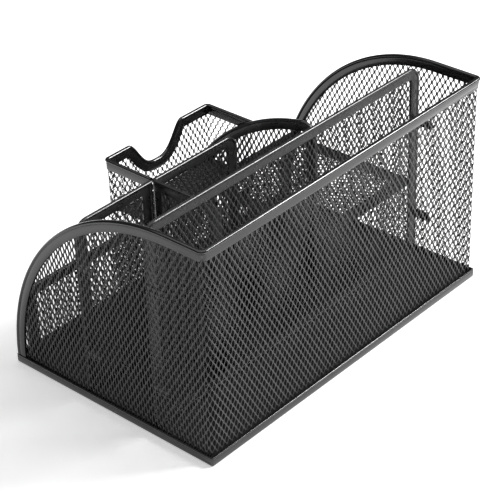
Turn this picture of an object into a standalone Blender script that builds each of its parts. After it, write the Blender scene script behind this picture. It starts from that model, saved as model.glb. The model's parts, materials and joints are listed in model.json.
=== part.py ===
"""Mesh desk organizer: welded black steel caddy with a mail slot, a pen box, a note holder and a shelf.

X runs along the length, +Y is the tall back, +Z is up, and the base stands on z = 0.
Every wall is a thin expanded metal sheet held in a folded steel band with a rolled bead.
The base is a low tray with a plain sheet floor.
"""

import bmesh
import bpy
import math

MM = 0.001

# Overall size.
LENGTH = 222.0
DEPTH = 142.6
HEIGHT = 127.0

# Material thicknesses and running clearances.
SHEET = 1.0
GAP = 0.3
BAND_TOP = 6.2
BAND_END = 7.0
BAND_FOOT = 6.0
BAND_HALF = 0.75
BEAD_R = 1.2
BEAD_DROP = 0.9
CORNER_R = 8.5
CORNER_CUT = 2.4

# Base tray.
BASE_H = 5.0
BASE_LIP = 1.0
BASE_FLANGE = 7.0
FLOOR_Z = 1.3
FOOT_Z = FLOOR_Z + SHEET + GAP

# Outer shell, measured from the outside of the base.
RIM_INSET = 1.4
RIM_DROP = 1.0
RIM_HALF = 0.9
SHELL_INSET = 1.8
FRONT_END = -70.6
CURVE_Z = 5.0
RIGHT_CURVE_Y = 47.0
RIGHT_TOP = 125.2
LEFT_CURVE_Y = 41.0
LEFT_TOP = HEIGHT
RIM_STEPS = 28
SHEET_START = 6.0
SHEET_STEPS = 19

# Rear divider, parallel to the back.
REAR_Y = 30.5
REAR_TOP = 122.6
REAR_HALF = LENGTH / 2 - SHELL_INSET - SHEET / 2 - GAP
BEAD_HALF = LENGTH / 2 - 2 * RIM_INSET - GAP

# Second row: side divider on the right, pen box in the middle.
FRONT_Y = -17.9
ROW_TOP = 105.7
CROSS_X = 52.1
PEN_END_X = -11.5

# Arched partition and note holder.
ARC_Y = 40.0
ARC_Z = 5.0
ARC_X = -22.2
ARC_R = 117.5
MEMO_X0 = -26.3
MEMO_X1 = 52.1
MEMO_Y = -52.2
NOTCH_X = 14.7
NOTCH_Z = 89.6
NOTCH_HALF = 20.4
NOTCH_SHARP = 1.5
NOTCH_STEPS = 40
MEMO_FLOOR_Z = 75.0
MEMO_FLOOR_BAND = 5.0

# Front bin wall and raised shelf.
BIN_Y = -63.0
BIN_TOP = 47.5
SHELF_Z = 47.8
SHELF_X1 = -27.9
SHELF_BAND = 8.0
FLAT_T = 1.5

# Weld ears.
EAR_L = 10.5
EAR_H = 5.5
EAR_T = 0.9
REAR_EARS = (28.5, 88.0)
SIDE_EARS = (28.5, 80.0)
PEN_EARS = (22.0, 66.0)

# Corner post of the pen box.
POST_W = 6.0
POST_T = 1.3


def clear_scene():
    for obj in list(bpy.data.objects):
        bpy.data.objects.remove(obj, do_unlink=True)


def paint(name, value, roughness):
    mat = bpy.data.materials.new(name)
    mat.use_nodes = True
    shader = mat.node_tree.nodes.get("Principled BSDF")
    shader.inputs["Base Color"].default_value = (value, value, value * 1.04, 1.0)
    shader.inputs["Metallic"].default_value = 0.0
    shader.inputs["Roughness"].default_value = roughness
    return mat


def build(name, points, faces, mat):
    mesh = bpy.data.meshes.new(name)
    mesh.from_pydata([(p[0] * MM, p[1] * MM, p[2] * MM) for p in points], [], faces)
    mesh.materials.append(mat)
    bm = bmesh.new()
    bm.from_mesh(mesh)
    bmesh.ops.recalc_face_normals(bm, faces=bm.faces)
    bm.to_mesh(mesh)
    bm.free()
    obj = bpy.data.objects.new(name, mesh)
    bpy.context.scene.collection.objects.link(obj)
    return obj


class Plan:
    """A folded line seen from above; distance s along it maps to a place, a tangent and a mitred normal."""

    def __init__(self, corners):
        self.corners = corners
        self.stops = [0.0]
        for a, b in zip(corners, corners[1:]):
            self.stops.append(self.stops[-1] + math.dist(a, b))

    def leg(self, i):
        (x0, y0), (x1, y1) = self.corners[i], self.corners[i + 1]
        size = math.dist((x0, y0), (x1, y1))
        return (x1 - x0) / size, (y1 - y0) / size

    def at(self, s):
        last = len(self.corners) - 2
        for i, stop in enumerate(self.stops[1:-1], start=1):
            if abs(s - stop) < 1e-6:
                (ax, ay), (bx, by) = self.leg(i - 1), self.leg(i)
                nx, ny = ay + by, -ax - bx
                k = 1.0 + ax * bx + ay * by
                return self.corners[i], (bx, by), (nx / k, ny / k)
        i = 0
        while i < last and s > self.stops[i + 1]:
            i += 1
        tx, ty = self.leg(i)
        x0, y0 = self.corners[i]
        run = s - self.stops[i]
        return (x0 + tx * run, y0 + ty * run), (tx, ty), (ty, -tx)


def bead_profile(half_bead, bead_drop, half_band):
    """Section of a rim as (distance from edge, share of band width, side offset)."""
    section = []
    for k in range(7):
        turn = math.radians(-129 + 43 * k)
        section.append((bead_drop * (1 - math.cos(turn)), 0.0, half_bead * math.sin(turn)))
    neck = 0.72 * half_band
    section.append((bead_drop * 2.05, 0.0, neck))
    section.append((bead_drop * 2.05 + 0.3, 0.0, half_band))
    section.append((0.0, 1.0, half_band))
    section.append((0.0, 1.0, -half_band))
    section.append((bead_drop * 2.05 + 0.3, 0.0, -half_band))
    section.append((bead_drop * 2.05, 0.0, -neck))
    return section


def inward(before, here, after):
    """Mitred inward direction for one corner of a line walked with its body on the left."""
    normals = []
    for a, b in ((before, here), (here, after)):
        if a is None or b is None:
            continue
        size = math.dist(a, b)
        normals.append((-(b[1] - a[1]) / size, (b[0] - a[0]) / size))
    if len(normals) == 1:
        return normals[0], normals
    (ax, ay), (bx, by) = normals
    k = 1.0 + ax * bx + ay * by
    return ((ax + bx) / k, (ay + by) / k), normals


def full_width(direction, normals, widths):
    """Offset that carries a corner to the inner edge of the band on both of its sides."""
    if len(normals) == 2:
        (ax, ay), (bx, by) = normals
        det = ax * by - ay * bx
        if abs(det) > 0.45:
            w0, w1 = widths
            return (w0 * by - w1 * ay) / det, (ax * w1 - bx * w0) / det
    w = sum(widths) / len(widths)
    return direction[0] * w, direction[1] * w


def band(name, path, widths, plan, section, closed, mat, lower=None):
    """Sweep a rim section along a line drawn on the folded wall; path is (s, z), widths go with its edges.

    Where lower gives a height at s, the band's inner edge stands plumb below the line at that height.
    """
    count = len(path)
    points = []
    for i in range(count):
        before = path[i - 1] if closed or i > 0 else None
        after = path[(i + 1) % count] if closed or i < count - 1 else None
        direction, normals = inward(before, path[i], after)
        pair = [widths[i - 1]] if before is not None else []
        if after is not None:
            pair.append(widths[i])
        reach = full_width(direction, normals, pair)
        s, z = path[i]
        if lower is not None and lower(s) is not None:
            reach = (0.0, lower(s) - z)
        (x, y), (tx, ty), (nx, ny) = plan.at(s)
        for drop, share, side in section:
            ds = direction[0] * drop + reach[0] * share
            dz = direction[1] * drop + reach[1] * share
            points.append((x + tx * ds + nx * side, y + ty * ds + ny * side, z + dz))
    n = len(section)
    faces = []
    rows = count if closed else count - 1
    for i in range(rows):
        a, b = i * n, ((i + 1) % count) * n
        for k in range(n):
            m = (k + 1) % n
            faces.append((a + k, a + m, b + m, b + k))
    if not closed:
        faces.append(tuple(range(n)))
        faces.append(tuple(range((count - 1) * n, count * n)))
    return build(name, points, faces, mat)


def sheet(name, columns, plan, mat, thickness=SHEET):
    """A thin wall from (s, lower edge, upper edge) columns on a folded line."""
    points = []
    half = thickness / 2
    for s, low, high in columns:
        (x, y), _, (nx, ny) = plan.at(s)
        for side, z in ((-half, low), (half, low), (half, high), (-half, high)):
            points.append((x + nx * side, y + ny * side, z))
    faces = []
    for i in range(len(columns) - 1):
        a, b = 4 * i, 4 * i + 4
        for k in range(4):
            m = (k + 1) % 4
            faces.append((a + k, a + m, b + m, b + k))
    faces.append((0, 1, 2, 3))
    end = 4 * (len(columns) - 1)
    faces.append((end, end + 1, end + 2, end + 3))
    return build(name, points, faces, mat)


def slab(name, x0, x1, y0, y1, z0, z1, mat):
    points = [(x, y, z) for z in (z0, z1) for x, y in ((x0, y0), (x1, y0), (x1, y1), (x0, y1))]
    faces = [(0, 1, 2, 3), (4, 5, 6, 7), (0, 1, 5, 4), (1, 2, 6, 5), (2, 3, 7, 6), (3, 0, 4, 7)]
    return build(name, points, faces, mat)


def join(target, tool):
    """Fuse a tool body into a target with an exact union."""
    mod = target.modifiers.new("union_" + tool.name, "BOOLEAN")
    mod.operation = "UNION"
    mod.solver = "EXACT"
    mod.object = tool
    tool.hide_render = True
    tool.display_type = "WIRE"


def fillet(cx, cz, radius, start, stop, steps):
    """Points of a circular arc between two angles in degrees."""
    arc = []
    for k in range(steps + 1):
        turn = math.radians(start + (stop - start) * k / steps)
        arc.append((cx + radius * math.cos(turn), cz + radius * math.sin(turn)))
    return arc


def panel_loop(s0, s1, z0, z1, round0, round1, extra=()):
    """Outline of an upright panel, counter-clockwise, with optional rounded top corners."""
    loop = [(s0, z0)] + [(s, z0) for s in extra] + [(s1, z0)]
    if round1:
        loop += fillet(s1 - CORNER_R, z1 - CORNER_R, CORNER_R, 0, 90, 5)
    else:
        loop.append((s1, z1))
    loop += [(s, z1) for s in reversed(extra)]
    if round0:
        loop += fillet(s0 + CORNER_R, z1 - CORNER_R, CORNER_R, 90, 180, 5)
    else:
        loop.append((s0, z1))
    return loop


def panel_widths(loop):
    """Band width for each edge of a panel outline: foot, upright end or top."""
    widths = []
    count = len(loop)
    z_low = min(p[1] for p in loop)
    for i in range(count):
        a, b = loop[i], loop[(i + 1) % count]
        run = math.dist(a, b)
        rise = abs(b[1] - a[1]) / run
        if max(a[1], b[1]) < z_low + 0.01:
            widths.append(BAND_FOOT)
        else:
            widths.append(BAND_TOP + (BAND_END - BAND_TOP) * rise)
    return widths


def ear(name, x, y, z, along, mat):
    """Small weld tab lying against the end wall beside a divider."""
    y0, y1 = sorted((y - EAR_T / 3 * along, y + EAR_L * along))
    return slab(name, x - EAR_T / 2, x + EAR_T / 2, y0, y1, z - EAR_H / 2, z + EAR_H / 2, mat)


def base_rim(mat):
    """Folded tray edge: upright lip outside, flat flange underneath."""
    half_x, half_y = LENGTH / 2, DEPTH / 2
    section = [
        (0.4, 0.0),
        (0.0, 0.4),
        (0.0, BASE_H - 0.5),
        (0.2, BASE_H - 0.1),
        (BASE_LIP / 2, BASE_H),
        (BASE_LIP - 0.2, BASE_H - 0.1),
        (BASE_LIP, BASE_H - 0.5),
        (BASE_LIP, 1.0),
        (BASE_FLANGE, 1.0),
        (BASE_FLANGE, 0.0),
    ]
    points = []
    for sx, sy in ((-1, -1), (1, -1), (1, 1), (-1, 1)):
        for inset, z in section:
            points.append((sx * (half_x - inset), sy * (half_y - inset), z))
    n = len(section)
    faces = []
    for i in range(4):
        a, b = i * n, ((i + 1) % 4) * n
        for k in range(n):
            m = (k + 1) % n
            faces.append((a + k, a + m, b + m, b + k))
    return build("base_rim", points, faces, mat)


def end_curve(curve_y, top, inset, start, steps):
    """Curved edge of one end, from the front upwards, moved inwards by inset, as (y, z)."""
    reach, rise = curve_y - FRONT_END, top - CURVE_Z
    curve = []
    for k in range(steps + 1):
        turn = math.radians(start + (90.0 - start) * k / steps)
        ny, nz = math.cos(turn) / reach, math.sin(turn) / rise
        size = math.hypot(ny, nz)
        y = curve_y - reach * math.cos(turn) + inset * ny / size
        z = CURVE_Z + rise * math.sin(turn) - inset * nz / size
        curve.append((y, z))
    return curve


def shell(rim_mat, mesh_mat):
    """Sheet bent round the back and both ends, with a rolled rim along its upper edge."""
    half_x, half_y = LENGTH / 2, DEPTH / 2
    x, y = half_x - RIM_INSET, half_y - RIM_INSET
    plan = Plan([(x, FRONT_END), (x, y), (-x, y), (-x, FRONT_END)])
    total, low = plan.stops[-1], BASE_H + GAP
    right = end_curve(RIGHT_CURVE_Y, RIGHT_TOP, 0.0, 0.0, RIM_STEPS)
    left = end_curve(LEFT_CURVE_Y, LEFT_TOP, 0.0, 0.0, RIM_STEPS)
    path = [(y - FRONT_END, max(z, low)) for y, z in right]
    path += [(plan.stops[1], RIGHT_TOP), (plan.stops[2], LEFT_TOP)]
    path += [(total - y + FRONT_END, max(z, low)) for y, z in reversed(left)]
    section = bead_profile(RIM_INSET, RIM_DROP, RIM_HALF)
    band("shell_rim", path[::-1], [BAND_TOP] * len(path), plan, section, False, rim_mat)

    x, y = half_x - SHELL_INSET, half_y - SHELL_INSET
    plan = Plan([(x, FRONT_END), (x, y), (-x, y), (-x, FRONT_END)])
    total, inset = plan.stops[-1], BAND_TOP + GAP
    right = end_curve(RIGHT_CURVE_Y, RIGHT_TOP, inset, SHEET_START, SHEET_STEPS)
    left = end_curve(LEFT_CURVE_Y, LEFT_TOP, inset, SHEET_START, SHEET_STEPS)
    columns = [(y - FRONT_END, FOOT_Z, z) for y, z in right]
    columns += [(plan.stops[1], FOOT_Z, RIGHT_TOP - inset), (plan.stops[2], FOOT_Z, LEFT_TOP - inset)]
    columns += [(total - y + FRONT_END, FOOT_Z, z) for y, z in reversed(left)]
    sheet("shell_mesh", columns, plan, mesh_mat)


def framed_panel(name, plan, s0, s1, top, round0, round1, frame_mat, mesh_mat):
    """Flat divider: closed steel frame with an expanded metal window."""
    loop = panel_loop(s0, s1, FOOT_Z, top, round0, round1)
    section = bead_profile(BEAD_R, BEAD_DROP, BAND_HALF)
    frame = band(name + "_frame", loop, panel_widths(loop), plan, section, True, frame_mat)
    low = FOOT_Z + BAND_FOOT + GAP
    high = top - BAND_TOP - GAP
    a, b = s0 + BAND_END + GAP, s1 - BAND_END - GAP
    cut = CORNER_CUT
    columns = [(a, low, high - (cut if round0 else 0.0)), (a + cut, low, high)]
    columns += [(b - cut, low, high), (b, low, high - (cut if round1 else 0.0))]
    sheet(name + "_mesh", columns, plan, mesh_mat)
    return frame


def rear_divider(frame_mat, mesh_mat):
    plan = Plan([(-REAR_HALF, REAR_Y), (REAR_HALF, REAR_Y)])
    frame = framed_panel("rear_divider", plan, 0.0, 2 * REAR_HALF, REAR_TOP, True, True, frame_mat, mesh_mat)
    for side, word in ((-1, "left"), (1, "right")):
        for z in REAR_EARS:
            x = side * (REAR_HALF - EAR_T / 2)
            join(frame, ear("weld_%s_ear_%d" % (word, z), x, REAR_Y, z, 1, frame_mat))


def side_divider(frame_mat, mesh_mat):
    start = CROSS_X + BEAD_R + GAP
    plan = Plan([(start, FRONT_Y), (REAR_HALF, FRONT_Y)])
    length = REAR_HALF - start
    frame = framed_panel("side_divider", plan, 0.0, length, ROW_TOP, False, True, frame_mat, mesh_mat)
    for z in SIDE_EARS:
        x = REAR_HALF - EAR_T / 2
        join(frame, ear("weld_side_ear_%d" % z, x, FRONT_Y, z, 1, frame_mat))


def pen_box(frame_mat, mesh_mat):
    """L-shaped panel: cross wall from the rear divider, then a front wall towards the left."""
    rear = REAR_Y - BEAD_R - GAP
    plan = Plan([(PEN_END_X, FRONT_Y), (CROSS_X, FRONT_Y), (CROSS_X, rear)])
    fold, total = plan.stops[1], plan.stops[2]
    loop = panel_loop(0.0, total, FOOT_Z, ROW_TOP, True, False, extra=(fold,))
    section = bead_profile(BEAD_R, BEAD_DROP, BAND_HALF)
    frame = band("pen_box_frame", loop, panel_widths(loop), plan, section, True, frame_mat)
    post_low, post_high = FOOT_Z + BAND_FOOT / 2, ROW_TOP - BAND_TOP / 2
    columns = [(s, post_low, post_high) for s in (fold - POST_W, fold, fold + POST_W)]
    join(frame, sheet("weld_post", columns, plan, frame_mat, thickness=POST_T))
    x0, x1 = ARC_X + BEAD_R + GAP, PEN_END_X + BEAD_R + BEAD_DROP
    y0, y1 = FRONT_Y - EAR_T / 2, FRONT_Y + EAR_T / 2
    for z in PEN_EARS:
        z0, z1 = z - EAR_H / 2, z + EAR_H / 2
        join(frame, slab("weld_pen_ear_%d" % z, x0, x1, y0, y1, z0, z1, frame_mat))
    low = FOOT_Z + BAND_FOOT + GAP
    high = ROW_TOP - BAND_TOP - GAP
    a, cut = BAND_END + GAP, CORNER_CUT
    columns = [(a, low, high - cut), (a + cut, low, high), (fold - POST_W - GAP, low, high)]
    sheet("pen_box_front_mesh", columns, plan, mesh_mat)
    columns = [(fold + POST_W + GAP, low, high), (total - BAND_END - GAP, low, high)]
    sheet("pen_box_cross_mesh", columns, plan, mesh_mat)


def arc_height(y, radius):
    return ARC_Z + math.sqrt(max(radius**2 - (y - ARC_Y) ** 2, 0.0))


def arc_partition(frame_mat, mesh_mat):
    """Arched cross wall between the pen box and the shelf bay."""
    rear = REAR_Y - BEAD_R - GAP
    front = MEMO_Y + BEAD_R + GAP
    plan = Plan([(ARC_X, front), (ARC_X, rear)])
    length = rear - front
    knee = rear - CORNER_R
    knee_z = arc_height(knee, ARC_R)
    loop = [(0.0, FOOT_Z), (length, FOOT_Z)]
    loop += fillet(length - CORNER_R, knee_z - CORNER_R, CORNER_R, 0, 80, 5)
    steps = 16
    for k in range(steps + 1):
        y = knee - 1.5 + (front - knee + 1.5) * k / steps
        loop.append((y - front, arc_height(y, ARC_R)))
    widths = [BAND_FOOT, BAND_END] + [BAND_TOP] * (len(loop) - 2)
    section = bead_profile(BEAD_R, BEAD_DROP, BAND_HALF)
    band("arc_partition_frame", loop, widths, plan, section, True, frame_mat)
    low = FOOT_Z + BAND_FOOT + GAP
    inner = ARC_R - BAND_TOP - GAP
    a, b = BAND_TOP + GAP, length - BAND_END - GAP
    columns = []
    parts = 12
    for k in range(parts + 1):
        s = a + (b - a) * k / parts
        high = arc_height(s + front, inner)
        columns.append((s, low, high - (CORNER_CUT if k == parts else 0.0)))
    sheet("arc_partition_mesh", columns, plan, mesh_mat)


def notch_depth(x):
    """Drop of the note holder edge at x: a smooth U with rounded shoulders."""
    t = abs(x - NOTCH_X) / NOTCH_HALF
    if t >= 1.0:
        return 0.0
    return (ROW_TOP - NOTCH_Z) * 0.5 * (1.0 + math.cos(math.pi * t**NOTCH_SHARP))


def below_notch(x, reach):
    """Height at x of the line that stays a distance reach below the note holder's edge."""
    lowest = ROW_TOP - reach
    for k in range(41):
        step = reach * (k / 20 - 1.0)
        edge = ROW_TOP - notch_depth(x + step)
        lowest = min(lowest, edge - math.sqrt(reach**2 - step**2))
    return lowest


def notch_stations():
    """Places in x, from right to left, that follow the notch and the edge beside it."""
    span = NOTCH_HALF + BAND_TOP + GAP
    return [NOTCH_X + span * (1.0 - 2.0 * k / NOTCH_STEPS) for k in range(NOTCH_STEPS + 1)]


def memo_holder(rim_mat, mesh_mat):
    """Three-sided folded pocket whose front edge dips in a U-notch."""
    rear = FRONT_Y - BEAD_R - GAP
    plan = Plan([(MEMO_X1, rear), (MEMO_X1, MEMO_Y), (MEMO_X0, MEMO_Y), (MEMO_X0, rear)])
    fold0, fold1, total = plan.stops[1], plan.stops[2], plan.stops[3]

    def lower(s):
        return below_notch(MEMO_X1 - s + fold0, BAND_TOP) if fold0 < s < fold1 else None

    edge = [(fold0 + MEMO_X1 - x, ROW_TOP - notch_depth(x)) for x in notch_stations()]
    path = [(total, ROW_TOP), (fold1, ROW_TOP)] + edge[::-1] + [(fold0, ROW_TOP), (0.0, ROW_TOP)]
    section = bead_profile(BEAD_R, BEAD_DROP, BAND_HALF)
    band("memo_holder_rim", path, [BAND_TOP] * len(path), plan, section, False, rim_mat, lower)
    reach = BAND_TOP + GAP
    high = ROW_TOP - reach
    columns = [(0.0, FOOT_Z, high), (fold0, FOOT_Z, high)]
    columns += [(fold0 + MEMO_X1 - x, FOOT_Z, below_notch(x, reach)) for x in notch_stations()]
    columns += [(fold1, FOOT_Z, high), (total, FOOT_Z, high)]
    sheet("memo_holder_mesh", columns, plan, mesh_mat)


def ring_frame(name, x0, x1, y0, y1, z, wide, thick, mat):
    """Flat rectangular frame lying down."""
    points = []
    bevel = 0.25
    section = [(0.0, bevel), (bevel, 0.0), (wide, 0.0), (wide, thick), (bevel, thick), (0.0, thick - bevel)]
    for cx, cy, sx, sy in ((x0, y0, 1, 1), (x1, y0, -1, 1), (x1, y1, -1, -1), (x0, y1, 1, -1)):
        for inset, up in section:
            points.append((cx + sx * inset, cy + sy * inset, z + up))
    n = len(section)
    faces = []
    for i in range(4):
        a, b = i * n, ((i + 1) % 4) * n
        for k in range(n):
            m = (k + 1) % n
            faces.append((a + k, a + m, b + m, b + k))
    return build(name, points, faces, mat)


def lying_panel(name, x0, x1, y0, y1, z, mat):
    return slab(name, x0, x1, y0, y1, z, z + SHEET, mat)


def shelf(frame_mat, mesh_mat):
    """Raised tray floor that rests over the low front wall."""
    x0, x1 = -BEAD_HALF, SHELF_X1
    y0, y1 = BIN_Y + GAP, REAR_Y - BEAD_R - GAP
    ring_frame("shelf_frame", x0, x1, y0, y1, SHELF_Z, SHELF_BAND, FLAT_T, frame_mat)
    inset = SHELF_BAND + GAP
    z = SHELF_Z + (FLAT_T - SHEET) / 2
    lying_panel("shelf_mesh", x0 + inset, x1 - inset, y0 + inset, y1 - inset, z, mesh_mat)


def memo_floor(frame_mat, mesh_mat):
    """Raised floor of the note holder."""
    x0, x1 = ARC_X + BEAD_R + GAP, MEMO_X1 - BEAD_R - GAP
    y0, y1 = MEMO_Y + BEAD_R + GAP, FRONT_Y - BEAD_R - GAP
    ring_frame("memo_floor_frame", x0, x1, y0, y1, MEMO_FLOOR_Z, MEMO_FLOOR_BAND, FLAT_T, frame_mat)
    inset = MEMO_FLOOR_BAND + GAP
    z = MEMO_FLOOR_Z + (FLAT_T - SHEET) / 2
    lying_panel("memo_floor_mesh", x0 + inset, x1 - inset, y0 + inset, y1 - inset, z, mesh_mat)


def front_wall(frame_mat, mesh_mat):
    """Low wall along the front between both ends."""
    plan = Plan([(-BEAD_HALF, BIN_Y), (BEAD_HALF, BIN_Y)])
    framed_panel("front_wall", plan, 0.0, 2 * BEAD_HALF, BIN_TOP, False, False, frame_mat, mesh_mat)


def base_floor(mat):
    """Plain sheet lying on the tray's flange."""
    inset = BASE_LIP + GAP
    half_x, half_y = LENGTH / 2 - inset, DEPTH / 2 - inset
    lying_panel("base_floor", -half_x, half_x, -half_y, half_y, FLOOR_Z, mat)


clear_scene()
rim_paint = paint("gloss_black_rim", 0.020, 0.34)
frame_paint = paint("gloss_black_frame", 0.018, 0.36)
mesh_paint = paint("gloss_black_mesh", 0.016, 0.42)
base_rim(rim_paint)
base_floor(frame_paint)
shell(rim_paint, mesh_paint)
rear_divider(frame_paint, mesh_paint)
side_divider(frame_paint, mesh_paint)
pen_box(frame_paint, mesh_paint)
arc_partition(frame_paint, mesh_paint)
memo_holder(rim_paint, mesh_paint)
memo_floor(frame_paint, mesh_paint)
front_wall(frame_paint, mesh_paint)
shelf(frame_paint, mesh_paint)
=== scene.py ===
"""Looks of the black expanded-metal desk organizer: real diamond mesh, rolled rims and a white studio."""

import json
import math

import bpy
import numpy as np
from mathutils import Matrix, Vector

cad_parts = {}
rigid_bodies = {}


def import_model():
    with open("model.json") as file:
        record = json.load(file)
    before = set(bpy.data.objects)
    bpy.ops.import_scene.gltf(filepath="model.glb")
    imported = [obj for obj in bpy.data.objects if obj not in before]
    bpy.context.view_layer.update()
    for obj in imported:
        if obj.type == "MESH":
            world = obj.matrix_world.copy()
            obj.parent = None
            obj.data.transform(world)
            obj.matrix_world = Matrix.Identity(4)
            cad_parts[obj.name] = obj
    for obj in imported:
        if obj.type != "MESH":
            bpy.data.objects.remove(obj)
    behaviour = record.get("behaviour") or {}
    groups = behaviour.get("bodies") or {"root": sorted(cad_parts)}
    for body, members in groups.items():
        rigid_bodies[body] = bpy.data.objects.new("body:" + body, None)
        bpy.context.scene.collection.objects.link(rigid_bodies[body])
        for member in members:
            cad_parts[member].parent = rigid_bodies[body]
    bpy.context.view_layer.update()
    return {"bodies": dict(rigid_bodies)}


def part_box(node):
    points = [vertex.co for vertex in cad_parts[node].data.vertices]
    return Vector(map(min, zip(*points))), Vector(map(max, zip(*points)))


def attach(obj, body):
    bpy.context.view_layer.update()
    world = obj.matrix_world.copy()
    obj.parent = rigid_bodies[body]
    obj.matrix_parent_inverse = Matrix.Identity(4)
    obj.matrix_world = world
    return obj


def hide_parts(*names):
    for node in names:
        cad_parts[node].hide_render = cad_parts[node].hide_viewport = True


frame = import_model()

MM = 0.001
BODY = next(iter(frame["bodies"]))

# Expanded metal: a slit every half column, opened into diamonds 3.6 mm wide and 6 mm high.
COLUMN = 1.8
ROW = 3.0
BOND = 1.1
SLANT_STEPS = 3

# Width and thickness of the strands, chosen for each sheet to match the light that it lets through.
STRAND = (0.75, 0.3)
BACK_STRAND = (0.66, 0.24)
NEAR_STRAND = (0.80, 0.28)
NOTE_FLOOR_STRAND = (1.15, 0.3)

# Degrees that strands are turned out of their sheet, at the bonds and between them, chosen the same way.
REAR_DIVIDER_TWIST = (-6, -10)
SIDE_DIVIDER_TWIST = (-24, -24)
FRONT_WALL_TWIST = (-4, -4)
PEN_FRONT_TWIST = (8, 8)
PEN_CROSS_TWIST = (-20, -20)
PARTITION_TWIST = (-6, -6)
NOTE_FLOOR_TWIST = (-30, -30)
SHELF_TWIST = (5, 5)

# The same for sheets with two folds, before and after each fold, and the half width of the change.
SHELL_TWIST = ([-30, -3, -3, 4], [-30, -3, -3, 14])
SHELL_CHANGE = 6
NOTE_TWIST = ([30, -10, -10, 24], [30, -30, -30, 38])
NOTE_CHANGE = 2

# Folded steel bands.
BAND_TOP = 6.2
BAND_END = 7.0
BAND_FOOT = 6.0
SHELF_BAND = 8.0
MEMO_FLOOR_BAND = 5.0
PANEL_R = 8.5
HIDDEN = 0.55
RIM_BEND = 2.2
NOTE_BEND = 1.8
POST_BEND = 1.4
POST_REACH = 6.0
SHELL_SECTION = (1.4, 1.0, 0.9, 18)
PANEL_SECTION = (1.2, 0.9, 0.75)

# Heights of the weld tabs.
REAR_EARS = (28.5, 88.0)
SIDE_EARS = (28.5, 80.0)
PEN_EARS = (22.0, 66.0)

# Curved edges of the two ends and of the arched partition.
CURVE_Z = 5.0
RIGHT_CURVE_Y = 47.0
RIGHT_TOP = 125.2
LEFT_CURVE_Y = 41.0
ARC_Y = 40.0
ARC_Z = 5.0
PARTITION_R = 117.5
PARTITION_STRANDS = 122.0

# U-notch in the note holder's front.
NOTCH_X = 14.7
NOTCH_HALF = 20.4
NOTCH_DROP = 16.1
NOTCH_SHARP = 1.5

# Studio: the table glows a little, so that it stays near white in the object's shadow.
TABLE_HALF = 3.0
TABLE_DROP = 0.0002
TABLE_WHITE = 0.93
TABLE_GLOW = 0.43
ROOM_LIGHT = 0.06
LIGHT_AIM = (0.0, 0.0, 0.05)

# Camera: angles in degrees, place in metres, lens and sensor in millimetres.
CAMERA_AZIMUTH = 132.29
CAMERA_ELEVATION = 32.34
CAMERA_ROLL = -1.92
CAMERA_PLACE = (0.60457, 0.54994, 0.56139)
CAMERA_LENS = 128.48
CAMERA_SENSOR = 36.0


def span(node):
    """A CAD node's box in millimetres as ((x0, x1), (y0, y1), (z0, z1))."""
    low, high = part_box(node)
    return tuple((low[i] / MM, high[i] / MM) for i in range(3))


def middle(pair):
    return (pair[0] + pair[1]) / 2


# ---------------------------------------------------------------- materials


def node_of(tree, kind, **inputs):
    node = tree.nodes.new(kind)
    for name, value in inputs.items():
        node.inputs[name.replace("_", " ")].default_value = value
    return node


def paint(name, shades, roughness, relief, ior=1.62):
    """Semi-gloss black powder coat: uneven gloss, faint tone changes and orange-peel relief."""
    dark, light = shades
    rough_low, rough_high = roughness
    peel_scale, peel_depth = relief
    mat = bpy.data.materials.new(name)
    mat.use_nodes = True
    tree = mat.node_tree
    shader = tree.nodes["Principled BSDF"]
    shader.inputs["Metallic"].default_value = 0.0
    shader.inputs["IOR"].default_value = ior
    where = tree.nodes.new("ShaderNodeTexCoord")

    tone = node_of(tree, "ShaderNodeTexNoise", Scale=38.0, Detail=3.0, Roughness=0.55)
    ramp = tree.nodes.new("ShaderNodeValToRGB")
    ramp.color_ramp.elements[0].position = 0.35
    ramp.color_ramp.elements[0].color = (dark, dark, dark * 1.03, 1.0)
    ramp.color_ramp.elements[1].position = 0.7
    ramp.color_ramp.elements[1].color = (light, light, light * 1.03, 1.0)
    tree.links.new(where.outputs["Object"], tone.inputs["Vector"])
    tree.links.new(tone.outputs["Fac"], ramp.inputs["Fac"])
    tree.links.new(ramp.outputs["Color"], shader.inputs["Base Color"])

    patch = node_of(tree, "ShaderNodeTexNoise", Scale=160.0, Detail=2.0, Roughness=0.5)
    gloss = node_of(tree, "ShaderNodeMapRange", From_Min=0.3, From_Max=0.7,
                    To_Min=rough_low, To_Max=rough_high)
    tree.links.new(where.outputs["Object"], patch.inputs["Vector"])
    tree.links.new(patch.outputs["Fac"], gloss.inputs["Value"])
    tree.links.new(gloss.outputs["Result"], shader.inputs["Roughness"])

    peel = node_of(tree, "ShaderNodeTexNoise", Scale=peel_scale, Detail=2.0, Roughness=0.5)
    bump = node_of(tree, "ShaderNodeBump", Strength=peel_depth, Distance=0.0002)
    tree.links.new(where.outputs["Object"], peel.inputs["Vector"])
    tree.links.new(peel.outputs["Fac"], bump.inputs["Height"])
    tree.links.new(bump.outputs["Normal"], shader.inputs["Normal"])
    return mat


# ---------------------------------------------------------------- meshes


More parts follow.
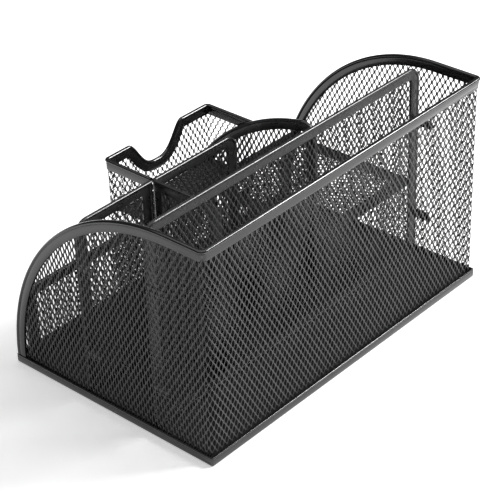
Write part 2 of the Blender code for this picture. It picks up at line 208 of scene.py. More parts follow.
def piece(name, points, quads, caps, mat, nodes, smooth=True):
    """One finished piece from points in millimetres, welded to the body and standing for its CAD nodes."""
    points = np.asarray(points, float) * MM
    quads = np.asarray(quads, np.int32).reshape(-1, 4)
    loops = [quads.reshape(-1)] + [np.asarray(c, np.int32) for c in caps]
    sizes = np.concatenate([np.full(len(quads), 4, np.int32), np.array([len(c) for c in caps], np.int32)])
    starts = np.concatenate([[0], np.cumsum(sizes)[:-1]]).astype(np.int32)
    corners = np.concatenate(loops).astype(np.int32)
    mesh = bpy.data.meshes.new(name)
    mesh.vertices.add(len(points))
    mesh.vertices.foreach_set("co", points.astype(np.float32).ravel())
    mesh.loops.add(len(corners))
    mesh.loops.foreach_set("vertex_index", corners)
    mesh.polygons.add(len(sizes))
    mesh.polygons.foreach_set("loop_start", starts)
    mesh.polygons.foreach_set("loop_total", sizes)
    mesh.update(calc_edges=True)
    mesh.validate()
    if smooth:
        mesh.shade_smooth()
        mesh.set_sharp_from_angle(angle=math.radians(38))
    mesh.materials.append(mat)
    obj = bpy.data.objects.new(name, mesh)
    bpy.context.scene.collection.objects.link(obj)
    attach(obj, BODY)
    if nodes:
        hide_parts(*nodes)
    return obj


def even(radius):
    """The same corner radius at every place."""
    return lambda s, z: np.full_like(z, radius)


def bend_stations(fold, radius, steps=4):
    """Distances that follow a rounded corner from one side of its fold to the other."""
    return [fold + radius * k / steps for k in range(-steps, steps + 1)]


class Plan:
    """A folded line seen from above.

    It is walked with its outer side on the right, and every corner turns left.
    """

    def __init__(self, corners, radius=None):
        self.corners = [np.array(c, float) for c in corners]
        self.stops = [0.0]
        self.tangents = []
        for a, b in zip(self.corners, self.corners[1:]):
            size = float(np.linalg.norm(b - a))
            self.tangents.append((b - a) / size)
            self.stops.append(self.stops[-1] + size)
        self.length = self.stops[-1]
        self.radius = radius or even(0.01)

    def normal(self, i):
        t = self.tangents[i]
        return np.array([t[1], -t[0]])

    def place(self, s, z, off):
        """Points for distances s, heights z and outward offsets off (arrays), with rounded corners."""
        s, z, off = np.broadcast_arrays(*(np.asarray(values, float) for values in (s, z, off)))
        leg = np.clip(np.searchsorted(self.stops, s, side="right") - 1, 0, len(self.tangents) - 1)
        starts = np.array(self.corners[:-1])[leg]
        tangents = np.array(self.tangents)[leg]
        normals = np.stack([tangents[:, 1], -tangents[:, 0]], 1)
        run = s - np.array(self.stops)[leg]
        flat = starts + tangents * run[:, None] + normals * off[:, None]
        r = self.radius(s, z)
        for i in range(1, len(self.tangents)):
            near = np.abs(s - self.stops[i]) < r
            if not near.any():
                continue
            rr = r[near]
            turn = (s[near] - self.stops[i] + rr) / (2 * rr) * (math.pi / 2)
            t, n = self.tangents[i - 1], self.normal(i - 1)
            centre = self.corners[i] - rr[:, None] * (t + n)
            arm = (rr + off[near])[:, None]
            flat[near] = centre + arm * (np.cos(turn)[:, None] * n + np.sin(turn)[:, None] * t)
        return np.column_stack([flat, z])


# ---------------------------------------------------------------- expanded metal


def expanded_sheet(name, place, s_span, z_span, inside, tilt, mat, nodes, strand=STRAND):
    """Diamond mesh: upright zigzag ribbons that meet in pairs at the bonds and twist between them.

    tilt gives, at a distance s, how far the ribbon is turned out of the sheet at its bonds and in between.
    """
    wide, thick = strand
    runs = []
    low, high = math.floor(z_span[0] / ROW) - 1, math.ceil(z_span[1] / ROW) + 1
    for i in range(math.floor(s_span[0] / COLUMN), math.ceil(s_span[1] / COLUMN)):
        at_bond, between = tilt((i + 0.5) * COLUMN)
        chain = []
        for k in range(low, high + 1):
            left = (i + k) % 2 == 0
            spots = [(k * ROW - BOND / 2, 0.0, 0.0), (k * ROW + BOND / 2, 0.0, 0.0)]
            for j in range(1, SLANT_STEPS):
                f = j / SLANT_STEPS
                spots.append((k * ROW + BOND / 2 + (ROW - BOND) * f, f * f * (3 - 2 * f), 4 * f * (1 - f)))
            for z, share, twist in spots:
                angle = at_bond + (between - at_bond) * twist
                c, n = math.cos(angle), math.sin(angle)
                share = share if left else 1.0 - share
                s = i * COLUMN + wide * c / 2 + share * (COLUMN - wide * c)
                chain.append((s, z, wide * n * (0.5 - share), c, n))
        runs += clipped(chain, inside)
    return ribbons(name, runs, place, wide, thick, mat, nodes)


def clipped(chain, inside):
    """Parts of a ribbon that lie inside the sheet's outline."""
    runs, run = [], []
    held = [inside(a[0], a[1]) > 0 for a in chain]
    for a, b, a_in, b_in in zip(chain, chain[1:], held, held[1:]):
        if a_in and not run:
            run.append(a)
        if a_in and b_in:
            run.append(b)
        elif a_in:
            run.append(crossing(a, b, inside))
            runs.append(run)
            run = []
        elif b_in:
            run = [crossing(b, a, inside), b]
    if len(run) > 1:
        runs.append(run)
    return runs


def crossing(kept, lost, inside):
    """Station between two others where the ribbon leaves the outline."""
    near, far = 0.0, 1.0
    for _ in range(12):
        f = (near + far) / 2
        if inside(kept[0] + (lost[0] - kept[0]) * f, kept[1] + (lost[1] - kept[1]) * f) > 0:
            near = f
        else:
            far = f
    return tuple(a + (b - a) * near for a, b in zip(kept, lost))


def ribbons(name, runs, place, wide, thick, mat, nodes):
    """Flat strips of steel along the given runs of (s, z, off, cos, sin) stations."""
    table = np.array([station for run in runs for station in run])
    s, z, off, c, n = table.T
    corners = []
    for u, v in ((-1, -1), (1, -1), (1, 1), (-1, 1)):
        ds = u * wide / 2 * c - v * thick / 2 * n
        dn = u * wide / 2 * n + v * thick / 2 * c
        corners.append(place(s + ds, z, off + dn))
    points = np.stack(corners, 1).reshape(-1, 3)
    quads, caps = [], []
    start = 0
    for run in runs:
        rows = np.arange(start, start + len(run) - 1)
        for k in range(4):
            m = (k + 1) % 4
            here, ahead = rows * 4, rows * 4 + 4
            quads.append(np.column_stack([here + k, here + m, ahead + m, ahead + k]))
        end = (start + len(run) - 1) * 4
        caps.append([start * 4 + 3, start * 4 + 2, start * 4 + 1, start * 4])
        caps.append([end, end + 1, end + 2, end + 3])
        start += len(run)
    return piece(name, points, np.concatenate(quads), caps, mat, nodes, smooth=False)


# ---------------------------------------------------------------- rolled rims


def rim_section(half_bead, bead_drop, half_band, steps=14):
    """Rim cross-section as (distance from edge, share of band width, side offset).

    It runs over the bead, the groove and the flat band.
    """
    section = []
    for k in range(steps + 1):
        turn = math.radians(-132 + 264 * k / steps)
        section.append((bead_drop * (1 - math.cos(turn)), 0.0, half_bead * math.sin(turn)))
    neck, step = 0.86 * half_band, bead_drop * 1.9
    side = [
        (step + 0.05, 0.0, neck),
        (step + 0.3, 0.0, half_band * 0.93),
        (step + 0.6, 0.0, half_band),
        (-0.35, 1.0, half_band),
        (-0.1, 1.0, half_band * 0.86),
        (0.0, 1.0, half_band * 0.6),
    ]
    return section + side + [(d, w, -o) for d, w, o in reversed(side)]


def inward(before, here, after):
    """Mitred inward direction at a corner of a line walked with its body on the left."""
    normals = []
    for a, b in ((before, here), (here, after)):
        if a is not None and b is not None:
            size = math.dist(a, b)
            normals.append((-(b[1] - a[1]) / size, (b[0] - a[0]) / size))
    if len(normals) == 1:
        return normals[0], normals
    (ax, ay), (bx, by) = normals
    k = 1.0 + ax * bx + ay * by
    return ((ax + bx) / k, (ay + by) / k), normals


def full_width(direction, normals, widths):
    """Offset that carries a corner to the inner edge of the band on both of its sides."""
    if len(normals) == 2:
        (ax, ay), (bx, by) = normals
        det = ax * by - ay * bx
        if abs(det) > 0.45:
            w0, w1 = widths
            return (w0 * by - w1 * ay) / det, (ax * w1 - bx * w0) / det
    w = sum(widths) / len(widths)
    return direction[0] * w, direction[1] * w


def rim(name, path, widths, plan, section, closed, mat, nodes, pinch=None, lower=None):
    """Sweeps a rim section along a line (s, z) drawn on a folded wall.

    pinch gives the share of its outward stand that the band keeps at s, where the fold has dented it.
    Where lower gives a height at s, the band's inner edge stands plumb below the line at that height.
    """
    count, n = len(path), len(section)
    spots = []
    for i in range(count):
        before = path[i - 1] if closed or i > 0 else None
        after = path[(i + 1) % count] if closed or i < count - 1 else None
        direction, normals = inward(before, path[i], after)
        pair = [widths[i - 1]] if before is not None else []
        if after is not None:
            pair.append(widths[i])
        reach = full_width(direction, normals, pair)
        s, z = path[i]
        if lower is not None and lower(s) is not None:
            reach = (0.0, lower(s) - z)
        dent = pinch(s) if pinch else 1.0
        for drop, share, side in section:
            if share > 0.0 and side > 0:
                side *= dent
            ds = direction[0] * drop + reach[0] * share
            dz = direction[1] * drop + reach[1] * share
            spots.append((s + ds, z + dz, side))
    points = plan.place(*np.array(spots).T)
    quads = []
    for i in range(count if closed else count - 1):
        a, b = i * n, ((i + 1) % count) * n
        quads += [(a + k, b + k, b + (k + 1) % n, a + (k + 1) % n) for k in range(n)]
    caps = []
    if not closed:
        caps = [list(range(n)), list(range(count * n - 1, (count - 1) * n - 1, -1))]
    return piece(name, points, quads, caps, mat, nodes)


def fillet(cx, cz, radius, start, stop, steps=12):
    turns = [math.radians(start + (stop - start) * k / steps) for k in range(steps + 1)]
    return [(cx + radius * math.cos(t), cz + radius * math.sin(t)) for t in turns]


def panel_loop(s0, s1, z0, z1, round0, round1, extra=()):
    """Outline of an upright panel, counter-clockwise, with optional rounded top corners."""
    loop = [(s0, z0)] + [(s, z0) for s in extra] + [(s1, z0)]
    loop += fillet(s1 - PANEL_R, z1 - PANEL_R, PANEL_R, 0, 90) if round1 else [(s1, z1)]
    loop += [(s, z1) for s in reversed(extra)]
    loop += fillet(s0 + PANEL_R, z1 - PANEL_R, PANEL_R, 90, 180) if round0 else [(s0, z1)]
    return loop


def panel_widths(loop):
    foot = min(p[1] for p in loop) + 0.01
    widths = []
    for a, b in zip(loop, loop[1:] + loop[:1]):
        rise = abs(b[1] - a[1]) / math.dist(a, b)
        widths.append(BAND_FOOT if max(a[1], b[1]) < foot else BAND_TOP + (BAND_END - BAND_TOP) * rise)
    return widths


def rectangle(s0, s1, z0, z1):
    return lambda s, z: min(s - s0, s1 - s, z - z0, z1 - z)


def steady(at_bond, between):
    pair = math.radians(at_bond), math.radians(between)
    return lambda s: pair


# ---------------------------------------------------------------- parts


def base(rim_mat, shaded_floor_mat):
    """Folded tray: rounded hem on the lip, flat flange underneath, plain sheet floor."""
    (x0, x1), (y0, y1), (_, z1) = span("base_rim")
    section = [(0.9, 0.0), (0.35, 0.12), (0.08, 0.4), (0.0, 0.9)]
    hem, lip = 0.55, 1.0
    section += [(0.0, z1 - 1.3), (0.12, z1 - 1.1)]
    for k in range(9):
        turn = math.radians(200 - 210 * k / 8)
        section.append((hem + hem * math.cos(turn), z1 - hem + hem * math.sin(turn)))
    section += [(lip, z1 - 1.2), (lip, 1.6), (1.25, 1.15), (1.7, 1.0), (7.0, 1.0), (7.0, 0.0)]
    points = []
    bend, steps = 1.2, 4
    for cx, cy, turn0 in ((x1, y0, -90), (x1, y1, 0), (x0, y1, 90), (x0, y0, 180)):
        sx, sy = (1 if cx > 0 else -1), (1 if cy > 0 else -1)
        for k in range(steps + 1):
            turn = math.radians(turn0 + 90 * k / steps)
            for inset, z in section:
                if inset < bend:
                    r = bend - inset
                    px = cx - sx * bend + r * math.cos(turn)
                    py = cy - sy * bend + r * math.sin(turn)
                else:
                    px, py = cx - sx * inset, cy - sy * inset
                    px += 0.02 * math.cos(turn)
                    py += 0.02 * math.sin(turn)
                points.append((px, py, z))
    n, count = len(section), 4 * (steps + 1)
    quads = []
    for i in range(count):
        a, b = i * n, ((i + 1) % count) * n
        quads += [(a + k, b + k, b + (k + 1) % n, a + (k + 1) % n) for k in range(n)]
    piece("base_tray", points, quads, [], rim_mat, ["base_rim"])

    # The floor sheet wears the darker, duller copy of the black coat that paints in the shade under the
    # walls.
    floor_sheet("base_floor_sheet", "base_floor", shaded_floor_mat)


def floor_sheet(name, node, mat):
    """Plain sheet with softened edges."""
    (x0, x1), (y0, y1), (z0, z1) = span(node)
    edge = 0.25
    points = []
    for inset, z in ((edge, z0), (0.0, z0 + edge), (0.0, z1 - edge), (edge, z1)):
        left, right, front, back = x0 + inset, x1 - inset, y0 + inset, y1 - inset
        points += [(left, front, z), (right, front, z), (right, back, z), (left, back, z)]
    quads = []
    for a in (0, 4, 8):
        quads += [(a + k, a + (k + 1) % 4, a + 4 + (k + 1) % 4, a + 4 + k) for k in range(4)]
    piece(name, points, quads, [[3, 2, 1, 0], [12, 13, 14, 15]], mat, [node])


def lying_sheet(name, x0, x1, y0, y1, z, tilt, strand, mat, nodes):
    """Expanded metal lying flat, its diamonds long in Y."""

    def place(s, v, off):
        return np.column_stack([s, v, z + off])

    inside = rectangle(x0, x1, y0, y1)
    return expanded_sheet(name, place, (x0, x1), (y0, y1), inside, tilt, mat, nodes, strand)


def end_curve(curve_y, front, top, steps):
    """Curved edge of one end, from the front upwards, as (y, z)."""
    turns = [math.pi / 2 * k / steps for k in range(steps + 1)]
    deep, high = curve_y - front, top - CURVE_Z
    return [(curve_y - deep * math.cos(t), CURVE_Z + high * math.sin(t)) for t in turns]


def under_curve(y, curve_y, front, top, inset):
    """Height of the line that runs inset below an end's curved edge, or None in front of it."""
    if y >= curve_y:
        return top - inset
    ratio = (curve_y - y) / (curve_y - front - inset)
    return CURVE_Z + (top - CURVE_Z - inset) * math.sqrt(1 - ratio * ratio) if ratio < 1 else None


def shell(rim_mat, mesh_mat):
    """One bent sheet round the back and both ends, with a rolled rim along its curved edge."""
    (_, rx1), (ry0, ry1), (rz0, left_top) = span("shell_rim")
    half_bead = SHELL_SECTION[0]
    x, y = rx1 - half_bead, ry1 - half_bead
    plan = Plan([(x, ry0), (x, y), (-x, y), (-x, ry0)], even(RIM_BEND))
    total, fold, steps = plan.length, plan.stops[1], 60
    right = [(y - ry0, max(z, rz0)) for y, z in end_curve(RIGHT_CURVE_Y, ry0, RIGHT_TOP, steps)]
    left = [(total - y + ry0, max(z, rz0)) for y, z in end_curve(LEFT_CURVE_Y, ry0, left_top, steps)]
    right += [(s, RIGHT_TOP) for s in bend_stations(fold, RIM_BEND)]
    left += [(s, left_top) for s in reversed(bend_stations(total - fold, RIM_BEND))]
    path = left + right[::-1]

    def pinch(s):
        away = min(abs(s - fold), abs(s - (total - fold)))
        return -0.9 + 1.9 * min(away / RIM_BEND, 1.0)

    section = rim_section(*SHELL_SECTION)
    widths = [BAND_TOP] * len(path)
    rim("shell_edge", path, widths, plan, section, False, rim_mat, ["shell_rim"], pinch)

    (_, sx1), (_, sy1), (sz0, _) = span("shell_mesh")
    sheet_half = 0.5
    x, y = sx1 - sheet_half, sy1 - sheet_half
    middle_s = (y - ry0) + x

    def bend(s, z):
        return np.where(s < middle_s, np.interp(z, [0.0, 110.0], [3.6, 1.4]), 1.2)

    wall = Plan([(x, ry0), (x, y), (-x, y), (-x, ry0)], bend)
    length, corner = wall.length, wall.stops[1]
    margin = BAND_TOP * HIDDEN

    def inside(s, z):
        if s < corner:
            top = under_curve(s + ry0, RIGHT_CURVE_Y, ry0, RIGHT_TOP, margin)
        elif s > length - corner:
            top = under_curve(length - s + ry0, LEFT_CURVE_Y, ry0, left_top, margin)
        else:
            top = RIGHT_TOP + (left_top - RIGHT_TOP) * (s - corner) / (length - 2 * corner) - margin
        return -1.0 if top is None else min(z - sz0, top - z)

    def tilt(s):
        far = length - corner
        stops = [corner - SHELL_CHANGE, corner + SHELL_CHANGE, far - SHELL_CHANGE, far + SHELL_CHANGE]
        at_bond, between = (np.interp(s, stops, turns) for turns in SHELL_TWIST)
        return math.radians(float(at_bond)), math.radians(float(between))

    parts = (
        ("right", 0.0, corner, ["shell_mesh"], NEAR_STRAND),
        ("back_1", corner, middle_s, [], BACK_STRAND),
        ("back_2", middle_s, length - corner, [], BACK_STRAND),
        ("left", length - corner, length, [], STRAND),
    )
    for word, start, stop, nodes, strand in parts:
        first, last = round(start / COLUMN) * COLUMN, round(stop / COLUMN) * COLUMN
        expanded_sheet("shell_sheet_" + word, wall.place, (first + 0.01, last - 0.01), (sz0, left_top),
                       inside, tilt, mesh_mat, nodes, strand)


def framed_panel(name, nodes, plan, s0, s1, z0, z1, round0, round1, tilt, frame_mat, mesh_mat):
    """Flat divider: closed folded frame round an expanded window."""
    loop = panel_loop(s0, s1, z0, z1, round0, round1)
    section = rim_section(*PANEL_SECTION)
    rim(name + "_band", loop, panel_widths(loop), plan, section, True,
        frame_mat, [nodes[0]])
    inset = BAND_TOP * HIDDEN
    inside = rectangle(s0 + inset, s1 - inset, z0 + inset, z1 - inset)
    expanded_sheet(name + "_sheet", plan.place, (s0, s1), (z0, z1), inside, tilt, mesh_mat, [nodes[1]])


def ear(name, x0, x1, y0, y1, z0, z1, mat):
    """Small weld tab with rounded edges."""
    r = min(x1 - x0, y1 - y0, z1 - z0) * 0.3
    thin_x = (x1 - x0) < (y1 - y0)
    points = []
    layers = [(0.0, r), (r, 0.0)]
    a0, a1, t0, t1 = (y0, y1, x0, x1) if thin_x else (x0, x1, y0, y1)
    outline = []
    corner = 1.1
    for ca, cz, start in ((a1 - corner, z1 - corner, 0), (a0 + corner, z1 - corner, 90),
                          (a0 + corner, z0 + corner, 180), (a1 - corner, z0 + corner, 270)):
        outline += [(ca, cz, math.radians(start + 30 * k)) for k in range(4)]
    for depth, shrink in layers + [(t1 - t0 - r, 0.0), (t1 - t0, r)]:
        for ca, cz, turn in outline:
            a = ca + (corner - shrink) * math.cos(turn)
            z = cz + (corner - shrink) * math.sin(turn)
            points.append((t0 + depth, a, z) if thin_x else (a, t0 + depth, z))
    n = len(outline)
    quads = [(j * n + k, j * n + (k + 1) % n, (j + 1) * n + (k + 1) % n, (j + 1) * n + k)
             for j in range(3) for k in range(n)]
    caps = [list(range(n - 1, -1, -1)), list(range(3 * n, 4 * n))]
    if not thin_x:
        quads = [tuple(reversed(q)) for q in quads]
        caps = [list(reversed(c)) for c in caps]
    return piece(name, points, quads, caps, mat, [])


def end_ears(name, plane_y, half_x, heights, sides, mat):
    """Tabs that turn from a divider's end band on to the end wall, where they are spot-welded."""
    length, high, thick = 10.5, 5.5, 0.9
    for side in sides:
        for k, z in enumerate(heights):
            x = side * (half_x - thick / 2 - 0.05)
            label = f"{name}_ear_{'right' if side > 0 else 'left'}_{k + 1}"
            ear(label, x - thick / 2, x + thick / 2, plane_y, plane_y + length,
                z - high / 2, z + high / 2, mat)


def rear_divider(frame_mat, mesh_mat):
    (x0, x1), _, (z0, z1) = span("rear_divider_frame")
    y = middle(span("rear_divider_mesh")[1])
    plan = Plan([(x0, y), (x1, y)])
    nodes = ["rear_divider_frame", "rear_divider_mesh"]
    tilt = steady(*REAR_DIVIDER_TWIST)
    framed_panel("rear_divider", nodes, plan, 0.0, x1 - x0, z0, z1, True, True, tilt, frame_mat, mesh_mat)
    end_ears("rear_divider", y, x1, REAR_EARS, (1, -1), frame_mat)


def side_divider(frame_mat, mesh_mat):
    (x0, x1), _, (z0, z1) = span("side_divider_frame")
    y = middle(span("side_divider_mesh")[1])
    plan = Plan([(x0, y), (x1, y)])
    nodes = ["side_divider_frame", "side_divider_mesh"]
    tilt = steady(*SIDE_DIVIDER_TWIST)
    framed_panel("side_divider", nodes, plan, 0.0, x1 - x0, z0, z1, False, True, tilt, frame_mat, mesh_mat)
    end_ears("side_divider", y, x1, SIDE_EARS, (1,), frame_mat)


def front_wall(frame_mat, mesh_mat):
    (x0, x1), _, (z0, z1) = span("front_wall_frame")
    y = middle(span("front_wall_mesh")[1])
    plan = Plan([(x0, y), (x1, y)])
    nodes = ["front_wall_frame", "front_wall_mesh"]
    tilt = steady(*FRONT_WALL_TWIST)
    framed_panel("front_wall", nodes, plan, 0.0, x1 - x0, z0, z1, False, False, tilt, frame_mat, mesh_mat)


def pen_box(frame_mat, mesh_mat):
    """L-shaped panel with a folded corner post, tied to the arched partition by two tabs."""
    (fx0, _), _, _ = span("pen_box_front_mesh")
    _, (_, fy1), (bz0, bz1) = span("pen_box_frame")
    x_cross = middle(span("pen_box_cross_mesh")[0])
    y_front = middle(span("pen_box_front_mesh")[1])
    x_end = fx0 - BAND_END - 0.3
    plan = Plan([(x_end, y_front), (x_cross, y_front), (x_cross, fy1)], even(POST_BEND))
    fold, total = plan.stops[1], plan.stops[2]
    loop = panel_loop(0.0, total, bz0, bz1, True, False, extra=bend_stations(fold, POST_BEND))
    section = rim_section(*PANEL_SECTION)
    rim("pen_box_band", loop, panel_widths(loop), plan, section, True,
        frame_mat, ["pen_box_frame"])
    low, high = bz0 + 4.0, bz1 - 4.0
    spots, quads = [], []
    half = 0.66
    path = [fold - POST_REACH, fold - POST_REACH + 0.25] + bend_stations(fold, POST_BEND)
    path += [fold + POST_REACH - 0.25, fold + POST_REACH]
    for j, s in enumerate(path):
        h = half * (0.6 if j in (0, len(path) - 1) else 1.0)
        spots += [(s, low, -h), (s, low, h), (s, high, h), (s, high, -h)]
    points = plan.place(*np.array(spots).T)
    for j in range(len(path) - 1):
        quads += [(4 * j + k, 4 * j + 4 + k, 4 * j + 4 + (k + 1) % 4, 4 * j + (k + 1) % 4) for k in range(4)]
    end = 4 * (len(path) - 1)
    caps = [[0, 1, 2, 3], [end + 3, end + 2, end + 1, end]]
    piece("pen_box_post", points, quads, caps, frame_mat, [])
    inset = BAND_TOP * HIDDEN
    inside = rectangle(inset, fold - 2.0, bz0 + inset, bz1 - inset)
    expanded_sheet("pen_box_front_sheet", plan.place, (0.0, fold), (bz0, bz1), inside,
                   steady(*PEN_FRONT_TWIST), mesh_mat, ["pen_box_front_mesh"])
    inside = rectangle(fold + 2.0, total - inset, bz0 + inset, bz1 - inset)
    expanded_sheet("pen_box_cross_sheet", plan.place, (fold, total), (bz0, bz1), inside,
                   steady(*PEN_CROSS_TWIST), mesh_mat, ["pen_box_cross_mesh"])
    x_arc = middle(span("arc_partition_mesh")[0]) + 1.5
    half_thick, half_high = 0.45, 2.75
    for k, z in enumerate(PEN_EARS):
        ear(f"pen_box_ear_{k + 1}", x_arc, x_end + 2.0, y_front - half_thick, y_front + half_thick,
            z - half_high, z + half_high, frame_mat)


def arc_partition(frame_mat, mesh_mat):
    """Arched cross wall from the note holder's front to the rear divider."""
    _, (y0, y1), (z0, _) = span("arc_partition_frame")
    x = middle(span("arc_partition_mesh")[0])
    plan = Plan([(x, y0), (x, y1)])
    length = y1 - y0

    def height(y, radius):
        return ARC_Z + math.sqrt(max(radius**2 - (y - ARC_Y) ** 2, 0.0))

    knee = y1 - PANEL_R
    loop = [(0.0, z0), (length, z0)]
    loop += fillet(length - PANEL_R, height(knee, PARTITION_R) - PANEL_R, PANEL_R, 0, 80, 10)
    steps = 32
    for k in range(steps + 1):
        y = knee - 1.5 + (y0 - knee + 1.5) * k / steps
        loop.append((y - y0, height(y, PARTITION_R)))
    widths = [BAND_FOOT, BAND_END] + [BAND_TOP] * (len(loop) - 2)
    section = rim_section(*PANEL_SECTION)
    rim("arc_partition_band", loop, widths, plan, section, True,
        frame_mat, ["arc_partition_frame"])
    inset = BAND_TOP * HIDDEN

    def inside(s, z):
        top = height(min(s + y0, knee + 3.0), PARTITION_R - inset)
        return min(s - inset, length - inset - s, z - z0 - inset, top - z)

    expanded_sheet("arc_partition_sheet", plan.place, (0.0, length), (z0, PARTITION_STRANDS), inside,
                   steady(*PARTITION_TWIST), mesh_mat, ["arc_partition_mesh"])


def note_holder(rim_mat, frame_mat, mesh_mat):
    """Three-sided folded pocket with a U-notch in front and a raised mesh floor."""
    (x0, x1), (y0, y1), (_, z1) = span("memo_holder_rim")
    half_bead = PANEL_SECTION[0]
    left, right, front = x0 + half_bead, x1 - half_bead, y0 + half_bead
    plan = Plan([(left, y1), (left, front), (right, front), (right, y1)], even(NOTE_BEND))
    fold0, fold1, total = plan.stops[1], plan.stops[2], plan.stops[3]

    def drop(x):
        t = abs(x - NOTCH_X) / NOTCH_HALF
        return 0.0 if t >= 1 else NOTCH_DROP * 0.5 * (1 + math.cos(math.pi * t**NOTCH_SHARP))

    def below(x, reach):
        steps = [reach * k / 16 for k in range(-16, 17)]
        return min(z1 - drop(x + step) - math.sqrt(reach**2 - step**2) for step in steps)

    def lower(s):
        return below(s - fold0 + left, BAND_TOP) if fold0 + 0.01 < s < fold1 - 0.01 else None

    flat, steps = NOTCH_HALF + BAND_TOP, 80
    stations = [NOTCH_X + flat * (2.0 * k / steps - 1.0) for k in range(steps + 1)]
    path = [(0.0, z1)] + [(s, z1) for s in bend_stations(fold0, NOTE_BEND)]
    path += [(fold0 + x - left, z1 - drop(x)) for x in stations]
    path += [(s, z1) for s in bend_stations(fold1, NOTE_BEND)] + [(total, z1)]
    section = rim_section(*PANEL_SECTION)
    rim("note_holder_edge", path[::-1], [BAND_TOP] * len(path), plan, section, False, rim_mat,
        ["memo_holder_rim"], lower=lower)
    low = span("memo_holder_mesh")[2][0]
    reach = BAND_TOP * HIDDEN

    def inside(s, z):
        return min(s, total - s, z - low, below(s - fold0 + left, reach) - z)

    def tilt(s):
        stops = [fold0 - NOTE_CHANGE, fold0 + NOTE_CHANGE, fold1 - NOTE_CHANGE, fold1 + NOTE_CHANGE]
        at_bond, between = (np.interp(s, stops, turns) for turns in NOTE_TWIST)
        return math.radians(float(at_bond)), math.radians(float(between))

    expanded_sheet("note_holder_sheet", plan.place, (0.0, total), (low, z1), inside, tilt,
                   mesh_mat, ["memo_holder_mesh"])
    raised_floor("note_floor", "memo_floor", MEMO_FLOOR_BAND, steady(*NOTE_FLOOR_TWIST), NOTE_FLOOR_STRAND,
                 frame_mat, mesh_mat)


def raised_floor(name, stem, band, tilt, strand, frame_mat, mesh_mat):
    """Lying mesh panel in a flat folded frame."""
    (x0, x1), (y0, y1), (z0, _) = span(stem + "_frame")
    section = [(0.0, 0.35), (0.1, 0.1), (0.35, 0.0), (band - 0.3, 0.0), (band, 0.25), (band, 1.25),
               (band - 0.3, 1.5), (1.9, 1.5), (1.5, 1.38), (1.2, 1.5), (0.35, 1.5), (0.1, 1.4), (0.0, 1.15)]
    points = []
    for cx, cy, sx, sy in ((x0, y0, 1, 1), (x1, y0, -1, 1), (x1, y1, -1, -1), (x0, y1, 1, -1)):
        points += [(cx + sx * inset, cy + sy * inset, z0 + up) for inset, up in section]
    n = len(section)
    quads = []
    for i in range(4):
        a, b = i * n, ((i + 1) % 4) * n
        quads += [(a + k, a + (k + 1) % n, b + (k + 1) % n, b + k) for k in range(n)]
    piece(name + "_band", points, quads, [], frame_mat, [stem + "_frame"])
    inset = band * HIDDEN
    lying_sheet(name + "_sheet", x0 + inset, x1 - inset, y0 + inset, y1 - inset, z0 + 0.75, tilt,
                strand, mesh_mat, [stem + "_mesh"])


# ---------------------------------------------------------------- studio


def studio():
    """White, faintly glowing table, an overhead bank, a strong softbox behind the left end, a dim room."""
    x0, x1, y0, y1 = -TABLE_HALF, TABLE_HALF, -TABLE_HALF, TABLE_HALF
    mesh = bpy.data.meshes.new("table")
    mesh.from_pydata([(x0, y0, 0), (x1, y0, 0), (x1, y1, 0), (x0, y1, 0)], [], [(0, 1, 2, 3)])
    floor = bpy.data.objects.new("table", mesh)
    bpy.context.scene.collection.objects.link(floor)
    floor.location.z = -TABLE_DROP
    mat = bpy.data.materials.new("table_white")
    mat.use_nodes = True
    shader = mat.node_tree.nodes["Principled BSDF"]
    shader.inputs["Base Color"].default_value = (TABLE_WHITE, TABLE_WHITE, TABLE_WHITE, 1.0)
    shader.inputs["Roughness"].default_value = 0.9
    shader.inputs["Specular IOR Level"].default_value = 0.1
    shader.inputs["Emission Color"].default_value = (1.0, 1.0, 1.0, 1.0)
    shader.inputs["Emission Strength"].default_value = TABLE_GLOW
    mesh.materials.append(mat)

    world = bpy.data.worlds.new("room")
    world.use_nodes = True
    background = world.node_tree.nodes["Background"]
    background.inputs["Color"].default_value = (1.0, 1.0, 1.0, 1.0)
    background.inputs["Strength"].default_value = ROOM_LIGHT
    bpy.context.scene.world = world

    softbox("overhead", (-0.1, -0.3, 1.9), 2.2, 2.2, 17.0)
    softbox("key", (-0.95, 0.62, 1.08), 0.62, 0.5, 32.0)


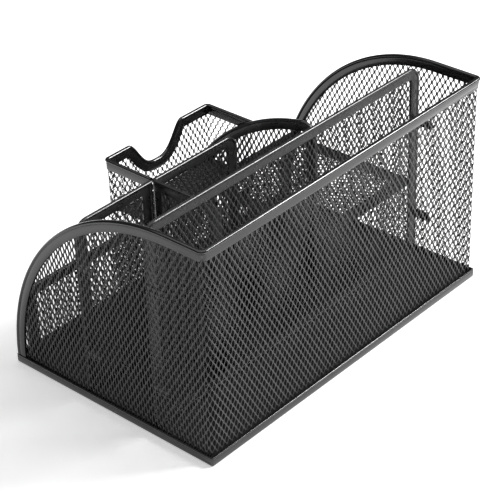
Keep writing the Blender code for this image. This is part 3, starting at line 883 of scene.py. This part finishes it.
def softbox(name, where, wide, high, power):
    """Rectangular light turned towards the object; metres and watts."""
    lamp = bpy.data.lights.new(name, "AREA")
    lamp.shape = "RECTANGLE"
    lamp.size, lamp.size_y = wide, high
    lamp.energy = power
    obj = bpy.data.objects.new(name, lamp)
    bpy.context.scene.collection.objects.link(obj)
    obj.location = where
    obj.rotation_mode = "QUATERNION"
    aim = Vector(LIGHT_AIM) - Vector(where)
    obj.rotation_quaternion = aim.to_track_quat("-Z", "Y")


def camera():
    """Three-quarter view from behind the right end, looking down."""
    azimuth, elevation = math.radians(CAMERA_AZIMUTH), math.radians(CAMERA_ELEVATION)
    roll = math.radians(CAMERA_ROLL)
    flat = math.cos(elevation)
    back = Vector((math.sin(azimuth) * flat, -math.cos(azimuth) * flat, math.sin(elevation)))
    level = Vector((0, 0, 1)).cross(back).normalized()
    up = back.cross(level)
    right = math.cos(roll) * level + math.sin(roll) * up
    top = -math.sin(roll) * level + math.cos(roll) * up
    data = bpy.data.cameras.new("camera")
    data.sensor_width = CAMERA_SENSOR
    data.lens = CAMERA_LENS
    cam = bpy.data.objects.new("camera", data)
    bpy.context.scene.collection.objects.link(cam)
    spot = Vector(CAMERA_PLACE)
    turn = Matrix((right, top, back)).transposed().to_4x4()
    cam.matrix_world = Matrix.Translation(spot) @ turn
    bpy.context.scene.camera = cam


bpy.context.scene.view_settings.view_transform = "Standard"
rim_paint = paint("rim_paint", shades=(0.010, 0.016), roughness=(0.14, 0.21), relief=(1400.0, 0.14), ior=1.6)
frame_paint = paint("frame_paint", shades=(0.009, 0.014), roughness=(0.24, 0.34), relief=(1400.0, 0.16))
# Painted shade: the tray floor gets a darker, less reflective copy of the black coat than the rest, standing
# in for the shade that the walls cast on it.
shaded_floor_paint = paint("shaded_floor_paint", shades=(0.006, 0.011), roughness=(0.38, 0.50), relief=(1400.0, 0.16),
                    ior=1.45)
mesh_paint = paint("mesh_paint", shades=(0.012, 0.022), roughness=(0.28, 0.42), relief=(2200.0, 0.12))
base(rim_paint, shaded_floor_paint)
shell(rim_paint, mesh_paint)
rear_divider(frame_paint, mesh_paint)
side_divider(frame_paint, mesh_paint)
pen_box(frame_paint, mesh_paint)
arc_partition(frame_paint, mesh_paint)
note_holder(rim_paint, frame_paint, mesh_paint)
front_wall(frame_paint, mesh_paint)
raised_floor("shelf", "shelf", SHELF_BAND, steady(*SHELF_TWIST), STRAND, frame_paint, mesh_paint)
studio()
camera()
